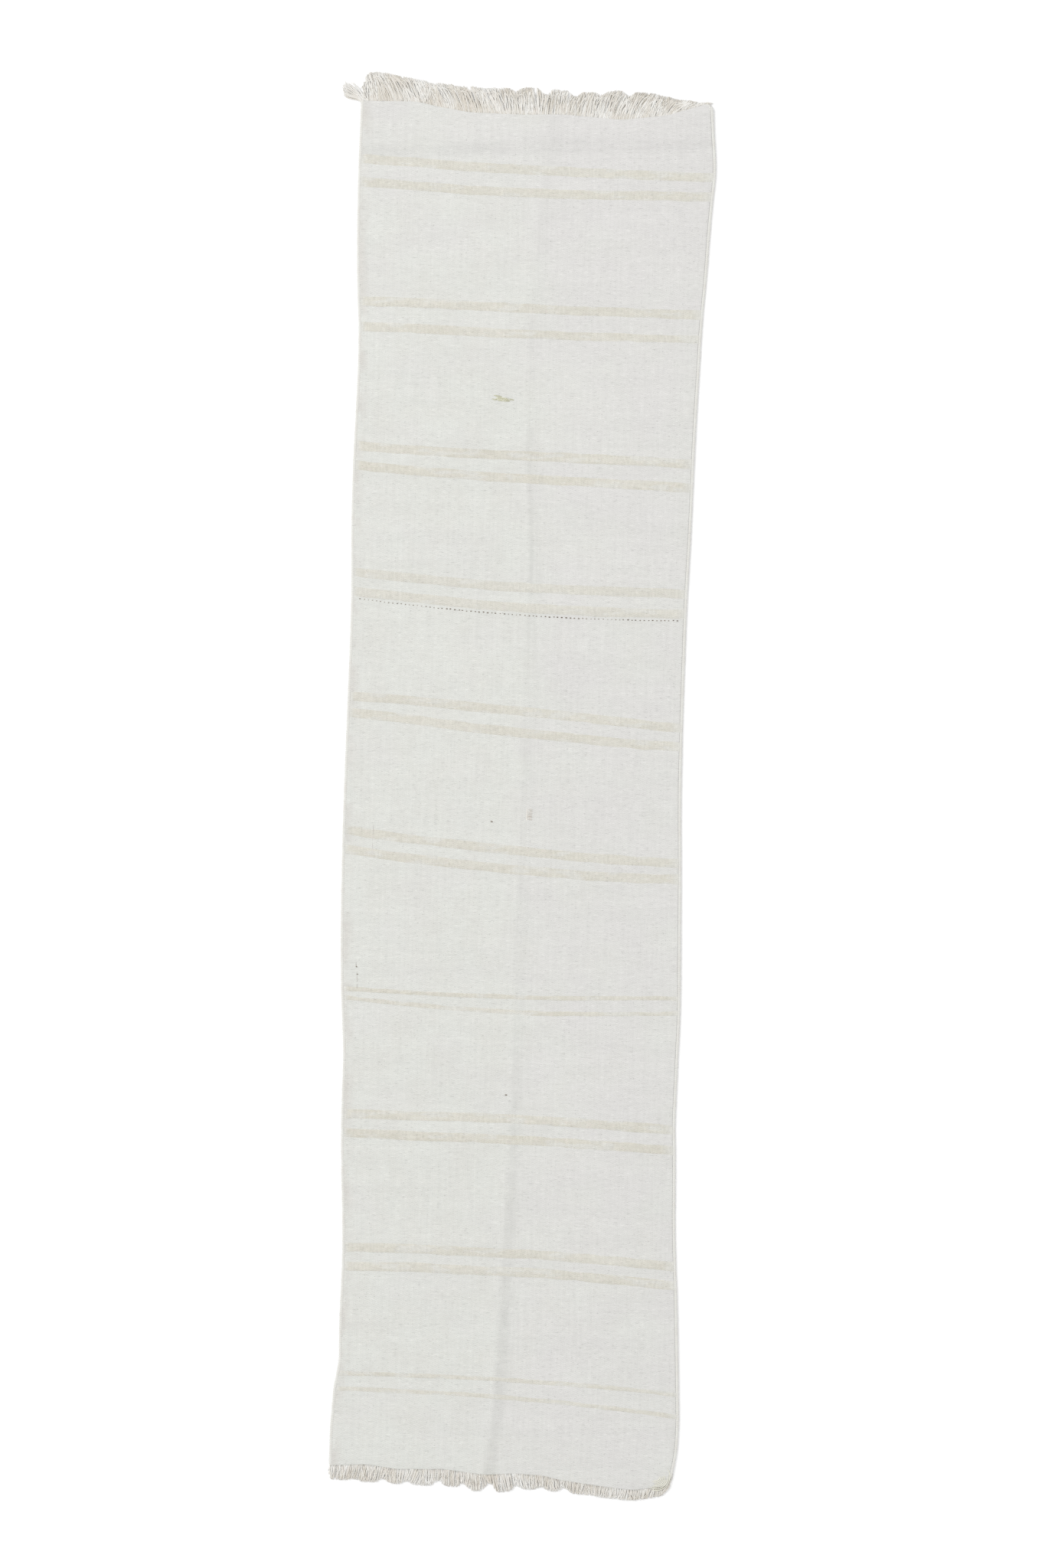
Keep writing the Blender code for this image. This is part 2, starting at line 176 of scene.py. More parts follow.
def edge_line(side):
    """(y, x) samples of the outer line of the left (-1) or right (+1) selvedges."""
    word = "left" if side < 0 else "right"
    found = points_of(*[f"{section}_{word}_selvedge" for section in ("far", "middle", "near")])
    outer = {}
    for x, y, _ in found:
        key = round(y, 5)
        outer[key] = max(outer.get(key, -1e9), side * x)
    ys = np.array(sorted(outer))
    xs = np.array([side * outer[y] for y in ys])
    grid = np.arange(ys[0], ys[-1], MM)
    return grid, smoothed(np.interp(grid, ys, xs), 31)


LEFT_LINE = edge_line(-1)
RIGHT_LINE = edge_line(1)


def left_x(y):
    return np.interp(y, *LEFT_LINE)


def right_x(y):
    return np.interp(y, *RIGHT_LINE)


def across(share, y, inset=0.0):
    low = left_x(y) + inset
    return low + (right_x(y) - inset - low) * share


def rounded_off(distance, radius):
    """How far a rounded corner draws in at a distance from the side that it meets."""
    inside = np.clip(distance / radius, 0, 1)
    return radius * (1 - np.sqrt(1 - (1 - inside) ** 2))


def end_line(side):
    """(x, y) samples of the far (+1) or near (-1) end of the cloth."""
    points = points_of("far_panel" if side > 0 else "near_panel")
    ahead = side * points[:, 1]
    found = points[(ahead > ahead.max() - 30 * MM) & (points[:, 2] > FACE_Z / 2)]
    found = found[np.argsort(found[:, 0])]
    low, high = left_x(side * SIDES_END_Y), right_x(side * SIDES_END_Y)
    grid = np.linspace(low, high, int((high - low) / MM))
    line = smoothed(np.interp(grid, found[:, 0], found[:, 1]), 13)
    for distance, radius in zip((grid - low, high - grid), CORNER_ROUNDING[side]):
        line = line - side * rounded_off(distance, radius)
    return grid, line


END_LINES = {1: end_line(1), -1: end_line(-1)}


def end_y(side, x):
    return np.interp(x, *END_LINES[side])


def end_row(side, shares, inset):
    """The y of the cloth's end at each share of the width."""
    y = np.full(len(shares), side * SIDES_END_Y)
    for _ in range(3):
        y = end_y(side, across(shares, y, inset))
    return y


JOINTS = {joint["name"]: joint for joint in frame["joints"]}
FAR_FOLD_Y = JOINTS["far_end_fold"]["pos_m"][1]
NEAR_FOLD_Y = JOINTS["near_end_fold"]["pos_m"][1]
HALF_LENGTH = (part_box("far_panel")[1].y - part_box("near_panel")[0].y) / 2
CREASE_LINE = np.array(CREASE)


def between_pairs(pair, following):
    """The y half way between two pairs of stripes."""
    return (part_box(f"stripe_{pair:02d}_near")[0].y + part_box(f"stripe_{following:02d}_far")[1].y) / 2


FAINT_BAND_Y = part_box("stripe_01_far")[1].y + FAINT_BAND_RISE
FAR_JOIN_Y = between_pairs(3, 4)
NEAR_JOIN_Y = between_pairs(7, 8)


# ---------------- heights of the cloth


def crease_x(y):
    return np.interp(y / HALF_LENGTH, CREASE_LINE[:, 0], CREASE_LINE[:, 1] * MM)


def lift(x, y):
    """How far the cloth stands up off the table."""
    height = np.zeros(np.shape(x))
    for amplitude, across_waves, along_waves, phase in WAVES:
        turn = 2 * math.pi * (across_waves * x / WAVE_WIDTH + along_waves * y / WAVE_LENGTH) + phase
        height = height + amplitude * MM * (1 + np.cos(turn))
    off = (x - crease_x(y)) / CREASE_FLANK
    height = height + CREASE_HEIGHT * np.exp(-np.abs(off) ** 1.3)
    for side in (1, -1):
        corner_x = right_x(side * PAST_ENDS_Y)
        corner_y = end_y(side, corner_x - 15 * MM)
        away = np.hypot(x - corner_x, y - corner_y) / CORNER_REACH
        height = height + CORNER_LIFT * np.exp(-(away**2) * 2)
    return height


def rib_wave(rib):
    return 0.5 + 0.5 * np.cos(2 * math.pi * rib)


def face_z(x, y, share):
    return FACE_Z + lift(x, y) + RIB_RELIEF * rib_wave(share * RIBS)


def under_z(x, y, share):
    return FLOOR_Z + lift(x, y) - RIB_RELIEF * (rib_wave(share * RIBS) - 0.5)


# ---------------- meshes


def add_object(name, data):
    made = bpy.data.objects.new(name, data)
    bpy.context.scene.collection.objects.link(made)
    return made


def make_object(name, points, quads, material, attributes):
    """A smooth-shaded mesh object from an (n, 3) array of points and an (m, 4) array of quads."""
    points = np.asarray(points, np.float32)
    quads = np.asarray(quads, np.int32)
    mesh = bpy.data.meshes.new(name)
    mesh.vertices.add(len(points))
    mesh.vertices.foreach_set("co", points.ravel())
    mesh.loops.add(quads.size)
    mesh.loops.foreach_set("vertex_index", quads.ravel())
    mesh.polygons.add(len(quads))
    mesh.polygons.foreach_set("loop_start", np.arange(0, quads.size, 4, dtype=np.int32))
    mesh.update(calc_edges=True)
    mesh.validate()
    mesh.polygons.foreach_set("use_smooth", np.ones(len(mesh.polygons), bool))
    for key, values in {**attributes, "rest": points}.items():
        values = np.asarray(values, np.float32)
        if values.ndim == 1:
            mesh.attributes.new(key, "FLOAT", "POINT").data.foreach_set("value", values)
        else:
            mesh.attributes.new(key, "FLOAT_VECTOR", "POINT").data.foreach_set("vector", values.ravel())
    mesh.materials.append(material)
    return add_object(name, mesh)


def grid_quads(rows, columns, first=0, wrap=False, flip=False):
    """Quads over a grid of points; `wrap` joins the last column to the first."""
    i = np.arange(rows - 1)[:, None]
    j = np.arange(columns if wrap else columns - 1)[None, :]
    following = (j + 1) % columns
    a = i * columns + j
    b = i * columns + following
    c = (i + 1) * columns + following
    d = (i + 1) * columns + j
    order = (a, d, c, b) if flip else (a, b, c, d)
    return first + np.stack([k * np.ones_like(a) for k in order], -1).reshape(-1, 4)


def tube_quads(rings, sides, flip=False):
    """Quads along a tube with an even number of sides, and over both its ends."""
    quads = [grid_quads(rings, sides, wrap=True, flip=flip)]
    for base, order in ((0, 1), ((rings - 1) * sides, -1)):
        for k in range(1, sides - 2, 2):
            quads.append([[base, base + k, base + k + 1, base + k + 2][::order]])
    return np.concatenate(quads)


def cloth_rows(start, end, dense=()):
    """Straight rows from y = start down to y = end, closer together near the `dense` lines."""
    ys = [start]
    while ys[-1] > end:
        near = any(abs(ys[-1] - fold) < FOLD_REACH + 2 * MM for fold in dense)
        ys.append(ys[-1] - (FOLD_ROW_STEP if near else ROW_STEP))
        for fold in dense:
            edge = fold + FOLD_REACH + 1.9 * MM
            if ys[-2] > edge > ys[-1]:
                ys[-1] = edge
    ys[-1] = end
    if len(ys) > 2 and ys[-2] - end < 1 * MM:
        ys.pop(-2)
    return ys


SHARES = np.linspace(0, 1, RIBS * COLUMNS_PER_RIB + 1)
GROUND_INSET = CORD_HALF_WIDTH * 1.35


def two_faces(y, share, rise):
    """Points, quads and places in the weave of both faces of the cloth over rows of points.

    `rise` is how far the faces stand out from the ground's.
    """
    x = across(share, y, GROUND_INSET)
    top = face_z(x, y, share) + rise
    floor = np.maximum(under_z(x, y, share) - rise, LOWEST_Z)
    points = np.concatenate([np.stack([x, y, z], -1).reshape(-1, 3) for z in (top, floor)])
    quads = [grid_quads(*y.shape, flip=True), grid_quads(*y.shape, first=y.size)]
    weave = np.stack([share * RIBS, y / PICK, x - crease_x(y)], -1).reshape(-1, 3)
    return points, quads, np.concatenate([weave, weave])


def make_ground(name, start, end, dense=()):
    """A sheet of the ground weave from y = start to y = end, where None is the cloth's own end."""
    rows, draws = [], []
    far_end = end_row(1, SHARES, GROUND_INSET)
    near_end = end_row(-1, SHARES, GROUND_INSET)
    first = min(far_end) - 8 * MM if start is None else start
    last = max(near_end) + 8 * MM if end is None else end
    if start is None:
        for inwards, draw in END_ROUNDING:
            rows.append(far_end - inwards * MM)
            draws.append(draw * MM)
        rows.append((far_end + first) / 2)
        draws.append(0.0)
    straight = cloth_rows(first, last, dense)
    if start is not None:
        straight.insert(1, first - JOIN_ROW)
    if end is not None:
        straight.insert(-1, last + JOIN_ROW)
    for y in straight:
        rows.append(np.full(len(SHARES), y))
        draws.append(0.0)
    if end is None:
        rows.append((near_end + last) / 2)
        draws.append(0.0)
        for inwards, draw in reversed(END_ROUNDING):
            rows.append(near_end + inwards * MM)
            draws.append(draw * MM)
    y = np.array(rows)
    points, quads, weave = two_faces(y, np.broadcast_to(SHARES, y.shape), -np.array(draws)[:, None])
    count, columns = y.shape
    size = y.size
    k = np.arange(columns - 1)
    for row in (0, count - 1):
        a = row * columns + k
        side = np.stack([a, a + 1, a + 1 + size, a + size], -1)
        quads.append(side if row == 0 else side[:, ::-1])
    k = np.arange(count - 1) * columns
    for column in (0, columns - 1):
        a = k + column
        side = np.stack([a, a + size, a + columns + size, a + columns], -1)
        quads.append(side if column == 0 else side[:, ::-1])
    return make_object(name, points, np.concatenate(quads), GROUND, {"weave": weave})


def stripe_line(node):
    """Two polynomials, y of the far and of the near edge of a band along x."""
    points = points_of(node)
    points = points[points[:, 2] > points[:, 2].max() - 0.2 * MM]
    columns = {}
    for x, y, _ in points:
        columns.setdefault(round(x / (12 * MM)), []).append((x, y))
    far, near = [], []
    for found in columns.values():
        ys = [y for _, y in found]
        middle = (max(ys) + min(ys)) / 2
        far += [(x, y) for x, y in found if y > middle]
        near += [(x, y) for x, y in found if y <= middle]
    return [np.polynomial.Polynomial.fit(*zip(*side), 2) for side in (far, near)]


def uneven(count, width, seed):
    """Smooth random numbers with a spread of about 1."""
    values = np.random.default_rng(seed).normal(size=count)
    values = smoothed(smoothed(values, width), width)
    return values / max(values.std(), 1e-9)


def make_stripe(node, seed, strength):
    """A band of thicker weft on both faces of the cloth."""
    far, near = stripe_line(node)
    mid_y = (far(0.0) + near(0.0)) / 2
    x = across(SHARES, np.full(len(SHARES), mid_y), GROUND_INSET)
    drift = STRIPE_DRIFT * uneven(len(x), 51, seed // 4)
    far_y = far(x) + drift + STRIPE_WANDER * uneven(len(x), 11, seed) + STRIPE_SPREAD
    near_y = near(x) + drift + STRIPE_WANDER * uneven(len(x), 11, seed + 1) - STRIPE_SPREAD
    span = near_y - far_y
    rows = (
        (far_y, -0.12 * MM),
        (far_y - STRIPE_EDGE, 0.85 * STRIPE_PROUD),
        (far_y + span * 0.35, STRIPE_PROUD),
        (far_y + span * 0.65, STRIPE_PROUD),
        (near_y + STRIPE_EDGE, 0.85 * STRIPE_PROUD),
        (near_y, -0.12 * MM),
    )
    y = np.array([line for line, _ in rows])
    rise = np.array([[height] for _, height in rows])
    points, quads, weave = two_faces(y, np.broadcast_to(SHARES, y.shape), rise)
    inside = np.minimum(far_y - y, y - near_y).ravel() / MM
    inside = np.concatenate([inside, inside])
    attributes = {"weave": weave, "inside": inside, "strength": np.full(len(points), strength)}
    return make_object(node + "_band", points, np.concatenate(quads), STRIPE, attributes)


def flattened(wave):
    return np.sign(wave) * np.abs(wave) ** CORD_FLATNESS


def make_cord(name, side, start, end, rounding):
    """A selvedge cord: warp ends bound by the turning weft, scalloped along its outer side.

    `rounding` is the radius of the cloth's corner at the cord's start and at its end.
    """
    step = CORD_TURN / CORD_RINGS_PER_TURN
    count = int(round((start - end) / step)) + 1
    y = np.linspace(start, end, count)
    outer = left_x(y) if side < 0 else right_x(y)
    for distance, radius in zip((start - y, y - end), rounding):
        if radius:
            outer = outer - side * 0.75 * rounded_off(distance, radius)
    turn = 2 * math.pi * y / CORD_TURN
    swell = 1 + 0.045 * np.cos(turn) + 0.03 * uneven(count, 5, 7 + side)
    half_width = CORD_HALF_WIDTH * swell
    half_height = CORD_HALF_HEIGHT * (1 + 0.05 * np.cos(turn + 0.8))
    centre_x = outer - side * CORD_HALF_WIDTH
    angle = np.linspace(0, 2 * math.pi, CORD_SIDES, endpoint=False)
    x = centre_x[:, None] + half_width[:, None] * flattened(np.cos(angle))
    z = CORD_HALF_HEIGHT * 1.06 + half_height[:, None] * flattened(np.sin(angle))
    z = z + lift(centre_x, y)[:, None] * np.ones_like(x)
    z = np.maximum(z, LOWEST_Z)
    slanted_y = y[:, None] + side * 0.35 * MM * np.cos(angle)
    points = np.stack([x, slanted_y, z], -1).reshape(-1, 3)
    # around is 1 on the cord's outer side, which the cord's material paints lighter as painted light
    around = np.broadcast_to(np.cos(angle), x.shape) * side
    weave = np.stack([around, slanted_y / CORD_TURN, x - outer[:, None]], -1).reshape(-1, 3)
    return make_object(name, points, tube_quads(count, CORD_SIDES), CORD, {"weave": weave})


def tubes(name, paths, radii, material, attributes, ply=0.14, pitch=5 * MM):
    """Yarns along `paths`, an (n, rings, 3) array, with `radii` for each ring, or for each yarn's."""
    paths = np.asarray(paths, float)
    count, rings, _ = paths.shape
    sides = YARN_SIDES
    radii = np.asarray(radii, float) * np.ones((count, rings))
    tangent = np.gradient(paths, axis=1)
    tangent /= np.linalg.norm(tangent, axis=-1, keepdims=True) + 1e-12
    up = np.array([0.0, 0.0, 1.0])
    sideways = np.cross(tangent, up)
    sideways /= np.linalg.norm(sideways, axis=-1, keepdims=True) + 1e-9
    upwards = np.cross(sideways, tangent)
    run = np.linalg.norm(np.diff(paths, axis=1), axis=-1)
    along = np.concatenate([np.zeros((count, 1)), np.cumsum(run, axis=1)], axis=1)
    angle = np.linspace(0, 2 * math.pi, sides, endpoint=False)
    twist = 2 * (angle[None, None, :] - 2 * math.pi * along[:, :, None] / pitch)
    radius = radii[:, :, None] * (1 + ply * np.cos(twist))
    points = (
        paths[:, :, None, :]
        + sideways[:, :, None, :] * (radius * np.cos(angle))[..., None]
        + upwards[:, :, None, :] * (radius * np.sin(angle))[..., None]
    )
    points[..., 2] = np.maximum(points[..., 2], 0.03 * MM)
    size = rings * sides
    quads = tube_quads(rings, sides, flip=True) + np.arange(count)[:, None, None] * size
    data = {"along": np.repeat(along.ravel(), sides), "twist": np.cos(twist).ravel()}
    for key, values in attributes.items():
        data[key] = np.repeat(np.asarray(values, float), size)
    return make_object(name, points.reshape(-1, 3), quads.reshape(-1, 4), material, data)


def curve_points(corners, rings=YARN_RINGS):
    """Points along one smooth curve (a Bezier of any order) per row of `corners` (n, k, 3)."""
    corners = np.asarray(corners, float)
    t = np.linspace(0, 1, rings)
    level = np.broadcast_to(corners[:, None], (len(corners), rings, *corners.shape[1:])).copy()
    while level.shape[2] > 1:
        level = level[:, :, :-1] * (1 - t)[None, :, None, None] + level[:, :, 1:] * t[None, :, None, None]
    return level[:, :, 0]


# ---------------- materials


class Look:
    """A procedural cloth material, built a node at a time."""

    def __init__(self, name, roughness=0.95, sheen=0.15):
        self.material = bpy.data.materials.new(name)
        self.material.use_nodes = True
        self.tree = self.material.node_tree
        self.surface = self.tree.nodes["Principled BSDF"].inputs
        self.surface["Roughness"].default_value = roughness
        self.surface["Specular IOR Level"].default_value = 0.15
        self.surface["Sheen Weight"].default_value = sheen
        self.surface["Sheen Roughness"].default_value = 0.6
        self.place = self.vector("rest")

    def node(self, kind, *values, **settings):
        """A new node with its settings, and its first inputs fed in order."""
        made = self.tree.nodes.new(kind)
        for key, value in settings.items():
            setattr(made, key, value)
        for socket, value in zip(made.inputs, values):
            self.feed(socket, value)
        return made

    def feed(self, socket, value):
        if isinstance(value, bpy.types.NodeSocket):
            self.tree.links.new(value, socket)
        else:
            socket.default_value = value

    def math(self, operation, *values):
        return self.node("ShaderNodeMath", *values, operation=operation).outputs[0]

    def times(self, first, *others):
        for other in others:
            first = self.math("MULTIPLY", first, other)
        return first

    def plus(self, first, *others):
        for other in others:
            first = self.math("ADD", first, other)
        return first

    def apart(self, first, second):
        return self.math("ABSOLUTE", self.math("SUBTRACT", first, second))

    def vector(self, name):
        return self.node("ShaderNodeAttribute", attribute_name=name).outputs["Vector"]

    def number(self, name):
        return self.node("ShaderNodeAttribute", attribute_name=name).outputs["Fac"]

    def parts(self, vector):
        return self.node("ShaderNodeSeparateXYZ", vector).outputs

    def noise(self, scale, offset=(0.0, 0.0, 0.0), detail=2.0, roughness=0.5):
        """Noise over the place at rest, with its own number of waves to the metre on each axis."""
        place = self.node("ShaderNodeVectorMath", self.place, scale, offset, operation="MULTIPLY_ADD")
        made = self.node("ShaderNodeTexNoise", place.outputs[0], noise_dimensions="3D")
        made.inputs["Scale"].default_value = 1.0
        made.inputs["Detail"].default_value = detail
        made.inputs["Roughness"].default_value = roughness
        return made.outputs["Fac"]

    def spread(self, value, low, high, to_low=0.0, to_high=1.0):
        """The value carried from low..high to to_low..to_high, and held outside."""
        return self.node("ShaderNodeMapRange", value, low, high, to_low, to_high, clamp=True).outputs[0]

    def mix(self, share, first, second):
        made = self.node("ShaderNodeMix", share, data_type="RGBA")
        for socket, colour in zip([s for s in made.inputs if s.type == "RGBA"], (first, second)):
            self.feed(socket, (*colour, 1.0) if isinstance(colour, tuple) else colour)
        return [s for s in made.outputs if s.type == "RGBA"][0]

    def shade(self, colour, factor):
        """The colour made lighter or darker by a factor."""
        made = self.node("ShaderNodeVectorMath", colour, operation="SCALE")
        self.feed(made.inputs["Scale"], factor)
        return made.outputs[0]

    def finish(self, colour, height=None, distance=0.2 * MM, strength=1.0):
        self.feed(self.surface["Base Color"], colour)
        if height is not None:
            bump = self.node("ShaderNodeBump")
            bump.inputs["Strength"].default_value = strength
            bump.inputs["Distance"].default_value = distance
            self.feed(bump.inputs["Height"], height)
            self.feed(self.surface["Normal"], bump.outputs["Normal"])
        return self.material


def weave_height(look, rib, pick):
    """Plain weave: each pick rides over every other rib, and the next over the ones between."""
    over = look.math("COSINE", look.times(rib, math.pi))
    under = look.math("COSINE", look.times(pick, math.pi))
    rows = look.math("COSINE", look.times(pick, 2 * math.pi))
    woven = look.math("MULTIPLY_ADD", rows, -0.25, look.times(over, under, 0.6))
    return look.plus(woven, look.noise((300.0, 900.0, 1.0)))


def weave_tone(look):
    """Brightness of the yarns: slubs and bands along the weft, faint streaks along the warp."""
    dashes = look.noise((150.0, 760.0, 1.0), detail=1.0)
    streaks = look.noise((330.0, 14.0, 1.0), (3.0, 0.0, 5.0))
    bands = look.noise((7.0, 58.0, 1.0), (1.0, 5.0, 8.0))
    nubs = look.noise((420.0, 520.0, 1.0), (6.0, 0.0, 2.0), detail=0.0)
    cloud = look.noise((60.0, 240.0, 1.0), (0.0, 7.0, 2.0), detail=3.0)
    return look.times(
        look.spread(dashes, 0.60, 0.76, 1.0, 0.86),
        look.spread(dashes, 0.40, 0.26, 1.0, 1.09),
        look.spread(streaks, 0.3, 0.7, 0.978, 1.018),
        look.spread(bands, 0.38, 0.66, 0.980, 1.006),
        look.spread(nubs, 0.74, 0.82, 1.0, 0.84),
        look.spread(cloud, 0.3, 0.7, 0.970, 1.022),
    )


def ground_colour(look, rib, beside):
    """Mottled, greyer at the far end, greyer to the right of the crease as painted shade, and worn at the
    side edges.
    """
    blotch = look.noise((26.0, 20.0, 1.0), detail=4.0, roughness=0.6)
    colour = look.mix(look.spread(blotch, 0.38, 0.64), GROUND_PALE, GROUND_WARM)
    # painted shade: the side right of the crease turns greyer
    right = look.spread(beside, -24 * MM, 34 * MM, 0.0, 0.62)
    far = look.spread(look.parts(look.place)[1], 0.45, 0.78, 0.0, 0.55)
    cloud = look.noise((11.0, 13.0, 1.0), (4.0, 1.0, 0.0), 3.0, 0.6)
    share = look.plus(right, far, look.spread(cloud, 0.36, 0.64, -0.3, 0.3))
    colour = look.mix(look.spread(share, 0.0, 1.0), colour, GROUND_GREY_AND_SHADE)
    to_edge = look.math("MINIMUM", rib, look.math("SUBTRACT", RIBS + RIGHT_EDGE_SPARED, rib))
    worn = look.noise((40.0, 26.0, 1.0), (0.0, 3.0, 3.0), 3.0, 0.6)
    at_edge = look.times(look.spread(to_edge, 0.5, 5.0, 0.9, 0.0), look.spread(worn, 0.42, 0.6))
    return look.mix(at_edge, colour, GROUND_WORN)


def crease_light_and_shade(look, beside):
    """Painted light and shade for the pressed fold: a lighter strip of painted light with a darker one of
    painted shade beside it, most at the near end, and a thin line of painted shade along the fold.
    """
    y = look.parts(look.place)[1]
    broken = look.noise((30.0, 38.0, 1.0), (5.0, 5.0, 0.0))
    near = look.spread(y, -0.20, -0.62, 0.20, 1.0)
    near = look.times(near, look.spread(broken, 0.35, 0.6, 0.4, 1.0))
    # painted shade on the flank right of the fold, painted light on the flank left of it
    dark = look.times(near, look.spread(look.apart(beside, 6 * MM), 3 * MM, 10 * MM, 0.085, 0.0))
    light = look.times(near, look.spread(look.apart(beside, -5 * MM), 1 * MM, 9 * MM, 0.020, 0.0))
    # a thin line of painted shade along the fold, deepest near y = 0.29 m
    deep = look.spread(look.apart(y, 0.29), 0.04, 0.13, 0.085, 0.025)
    line = look.spread(look.apart(beside, 1 * MM), 1 * MM, 5 * MM, 1.0, 0.0)
    narrow = look.times(deep, line, look.spread(broken, 0.35, 0.55, 0.55, 1.0))
    return look.plus(1.0, look.math("SUBTRACT", light, look.math("MAXIMUM", dark, narrow)))


def faint_band(look):
    """A greyer run of weft between the first pair of stripes and the far end."""
    x, y, _ = look.parts(look.place)
    away = look.apart(look.math("MULTIPLY_ADD", x, -FAINT_BAND_SLOPE, y), FAINT_BAND_Y)
    broken = look.noise((14.0, 40.0, 1.0), (8.0, 0.0, 2.0), detail=3.0)
    share = look.spread(away, 4 * MM, 11 * MM, 0.050, 0.0)
    share = look.times(share, look.spread(broken, 0.35, 0.55, 0.3, 1.0))
    return look.math("SUBTRACT", 1.0, share)


def make_ground_material():
    look = Look("off_white_weave")
    rib, pick, beside = look.parts(look.vector("weave"))
    tone = look.times(weave_tone(look), crease_light_and_shade(look, beside), faint_band(look))
    colour = look.shade(ground_colour(look, rib, beside), tone)
    return look.finish(colour, weave_height(look, rib, pick), 0.16 * MM, 0.9)


def make_stripe_material():
    """Beige yarn that fades in patches, at both sides, along its edges and by the pair's strength."""
    look = Look("beige_stripe_weave")
    rib, pick, _ = look.parts(look.vector("weave"))
    blotch = look.noise((48.0, 140.0, 1.0), (9.0, 0.0, 1.0), 4.0, 0.6)
    long = look.noise((13.0, 40.0, 1.0), (2.0, 6.0, 4.0))
    blotched = look.spread(blotch, 0.34, 0.66, 0.0, 0.5)
    share = look.plus(blotched, look.spread(long, 0.36, 0.64, 0.0, 0.5))
    colour = look.mix(share, STRIPE_DEEP, STRIPE_LIGHT)
    pink = look.noise((150.0, 520.0, 1.0), (0.0, 4.0, 6.0))
    colour = look.mix(look.spread(pink, 0.54, 0.70, 0.0, 0.65), colour, STRIPE_PINK)
    patchy = look.noise((24.0, 90.0, 1.0), (6.0, 2.0, 0.0), 3.0, 0.6)
    faded = look.math("SUBTRACT", 1.0, look.number("strength"))
    for fade in (
        look.spread(rib, 0.5, 3.0, 0.85, 0.0),
        look.spread(rib, RIBS - 7.0, RIBS - 1.0, 0.0, 0.8),
        look.spread(patchy, 0.50, 0.61, 0.0, 0.80),
    ):
        faded = look.math("MAXIMUM", faded, fade)
    colour = look.mix(faded, colour, STRIPE_FADED)
    ragged = look.noise((260.0, 1000.0, 1.0))
    inside = look.number("inside")
    solid = look.spread(look.math("MULTIPLY_ADD", ragged, 2.0, inside), 0.5, 2.0)
    colour = look.mix(solid, STRIPE_FADED, colour)
    ribbed = look.noise((390.0, 130.0, 1.0), (1.0, 1.0, 0.0), detail=1.0)
    tone = look.times(weave_tone(look), look.spread(ribbed, 0.3, 0.7, 0.955, 1.04))
    return look.finish(look.shade(colour, tone), weave_height(look, rib, pick), 0.18 * MM, 0.9)


def make_cord_material():
    look = Look("bound_selvedge")
    around, turn, _ = look.parts(look.vector("weave"))
    blotch = look.noise((60.0, 90.0, 1.0), detail=3.0, roughness=0.6)
    colour = look.mix(look.spread(blotch, 0.35, 0.65), CORD_PALE, CORD_WORN)
    wave = look.math("COSINE", look.times(turn, 2 * math.pi))
    # painted shade between the binding turns; painted light on the outer side and on the right-hand cords,
    # against the shade on the sides away from the lamp
    tone = look.times(
        look.spread(wave, -1.0, 1.0, 0.97, 1.01),
        look.spread(around, 0.2, 1.0, 1.0, 1.10),
        look.spread(look.parts(look.place)[0], -10 * MM, 10 * MM, 1.0, 1.09),
    )
    height = look.math("MULTIPLY_ADD", wave, 0.6, look.noise((500.0, 1500.0, 500.0)))
    return look.finish(look.shade(colour, tone), height, 0.2 * MM, 0.8)


def make_yarn_material(name, dark, pale, tint, root_dash=False):
    """Twisted yarn: `tone` from 0 to 1 picks between the colours, the twist shows as a slant, with painted
    shade in the grooves between plies, and with `root_dash` painted shade at the root.
    """
    look = Look(name, sheen=0.2)
    patch = look.noise((34.0, 30.0, 1.0), (2.0, 0.0, 0.0))
    tone = look.times(look.number("tone"), 0.55)
    share = look.plus(tone, look.spread(patch, 0.36, 0.64, 0.0, 0.5))
    colour = look.mix(look.spread(share, 0.1, 0.95), dark, pale)
    fleck = look.noise((180.0, 180.0, 180.0))
    colour = look.mix(look.spread(fleck, 0.5, 0.75, 0.0, 0.6), colour, tint)
    twist = look.number("twist")
    # painted shade: a little darker in the grooves between the plies
    colour = look.shade(colour, look.spread(twist, -1.0, 1.0, 0.94, 1.01))
    # painted shade where the yarns run in under the cloth's edge: the `dash` yarns darken just past their
    # root
    if root_dash:
        along = look.number("along")
        at_root = look.spread(along, YARN_ROOT + 0.9 * MM, YARN_ROOT + 2.6 * MM, 1.0, 0.0)
        dashed = look.times(at_root, look.number("dash"))
        colour = look.shade(colour, look.spread(dashed, 0.0, 1.0, 1.0, 0.70))
    fibre = look.noise((1400.0, 1400.0, 1400.0))
    return look.finish(colour, look.math("MULTIPLY_ADD", twist, 0.5, fibre), 0.2 * MM, 0.6)


YARNS = {  # name: darkest, palest and the flecks' colour
    "fringe_yarn": ((0.664, 0.624, 0.552), (0.832, 0.825, 0.798), (0.715, 0.668, 0.612)),
    "pale_yarn": ((0.730, 0.715, 0.600), (0.880, 0.870, 0.770), (0.800, 0.780, 0.680)),
    "dark_yarn": ((0.125, 0.086, 0.062), (0.375, 0.312, 0.250), (0.150, 0.130, 0.115)),
    "ochre_yarn": ((0.480, 0.470, 0.330), (0.760, 0.760, 0.610), (0.560, 0.550, 0.400)),
    "grey_yarn": ((0.360, 0.330, 0.300), (0.780, 0.760, 0.730), (0.560, 0.500, 0.430)),
    "tan_yarn": ((0.410, 0.370, 0.335), (0.860, 0.830, 0.780), (0.660, 0.600, 0.530)),
}
GROUND = make_ground_material()
STRIPE = make_stripe_material()
CORD = make_cord_material()
FRINGE, PALE, DARK, OCHRE, GREY, TAN = (
    make_yarn_material(name, *colours, root_dash=name == "fringe_yarn") for name, colours in YARNS.items()
)


# ---------------- cloth pieces

